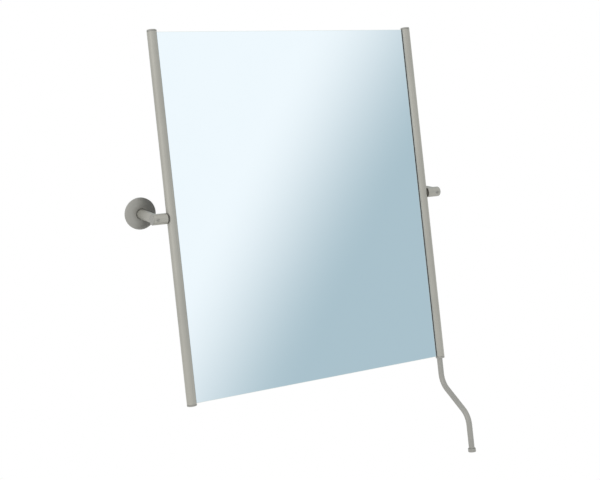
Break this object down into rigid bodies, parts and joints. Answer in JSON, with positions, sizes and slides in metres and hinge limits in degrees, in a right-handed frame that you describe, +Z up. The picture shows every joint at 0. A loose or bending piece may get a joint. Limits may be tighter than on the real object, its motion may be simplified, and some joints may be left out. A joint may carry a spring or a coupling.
{
  "type": "pivot wall mirror",
  "caption": "Tilting wall mirror: a pane held by its upright edges in round tubes, hung between wall arms on friction pivots, with a bent lever below.",
  "frame": {"origin": "on the wall, midway between the two wall plates, at the height of the tilt axis; it is the centre of the four wall screw holes", "axes": "+X along the tilt axis to the viewer's right, +Y into the wall, +Z up"},
  "size_m": [0.74, 0.2885, 0.9218],
  "materials": {
    "mirror_glass": "silvered float glass with ground arrises",
    "safety_film": "grey safety film over the silvering",
    "coated_metal": "satin warm grey powder coat",
    "black_rubber": "extruded black glazing rubber",
    "black_nylon": "moulded dark nylon",
    "zinc": "dull zinc-plated steel",
    "bright_steel": "bright plated steel"
  },
  "bodies": {
    "wall_arms": {"pivot_bush_left": "black_nylon", "pivot_bush_right": "black_nylon", "pivot_housing_left": "coated_metal", "pivot_housing_right": "coated_metal", "housing_cap_left": "coated_metal", "housing_cap_right": "coated_metal", "arm_screw_left": "coated_metal", "arm_screw_right": "coated_metal", "post_plug_left": "zinc", "post_plug_right": "zinc", "arm_post_left": "coated_metal", "arm_post_right": "coated_metal", "wall_plate_left": "zinc", "wall_plate_right": "zinc", "arm_set_screws": "bright_steel", "rosette_left": "coated_metal", "rosette_right": "coated_metal"},
    "tilting_mirror": {"mirror_glass": "mirror_glass", "safety_film": "safety_film", "side_tube_left": "coated_metal", "side_tube_right": "coated_metal", "gasket_left": "black_rubber", "gasket_right": "black_rubber", "top_cap_left": "coated_metal", "top_cap_right": "coated_metal", "bottom_cap_left": "coated_metal", "pivot_insert_left": "zinc", "pivot_insert_right": "zinc", "friction_washer_left": "black_nylon", "friction_washer_right": "black_nylon", "pivot_bolt_left": "bright_steel", "pivot_bolt_right": "bright_steel", "disc_springs_left": "bright_steel", "disc_springs_right": "bright_steel", "lever_collar": "coated_metal", "lever_stud": "bright_steel", "lever_rod": "coated_metal", "lever_knob": "coated_metal", "collar_set_screw": "bright_steel"}
  },
  "joints": [
    {"name": "mirror_tilt", "type": "hinge", "parent": "wall_arms", "child": "tilting_mirror", "pos_m": [0, -0.09, 0], "axis": [1, 0, 0], "range_deg": [-1, 22]}
  ]
}
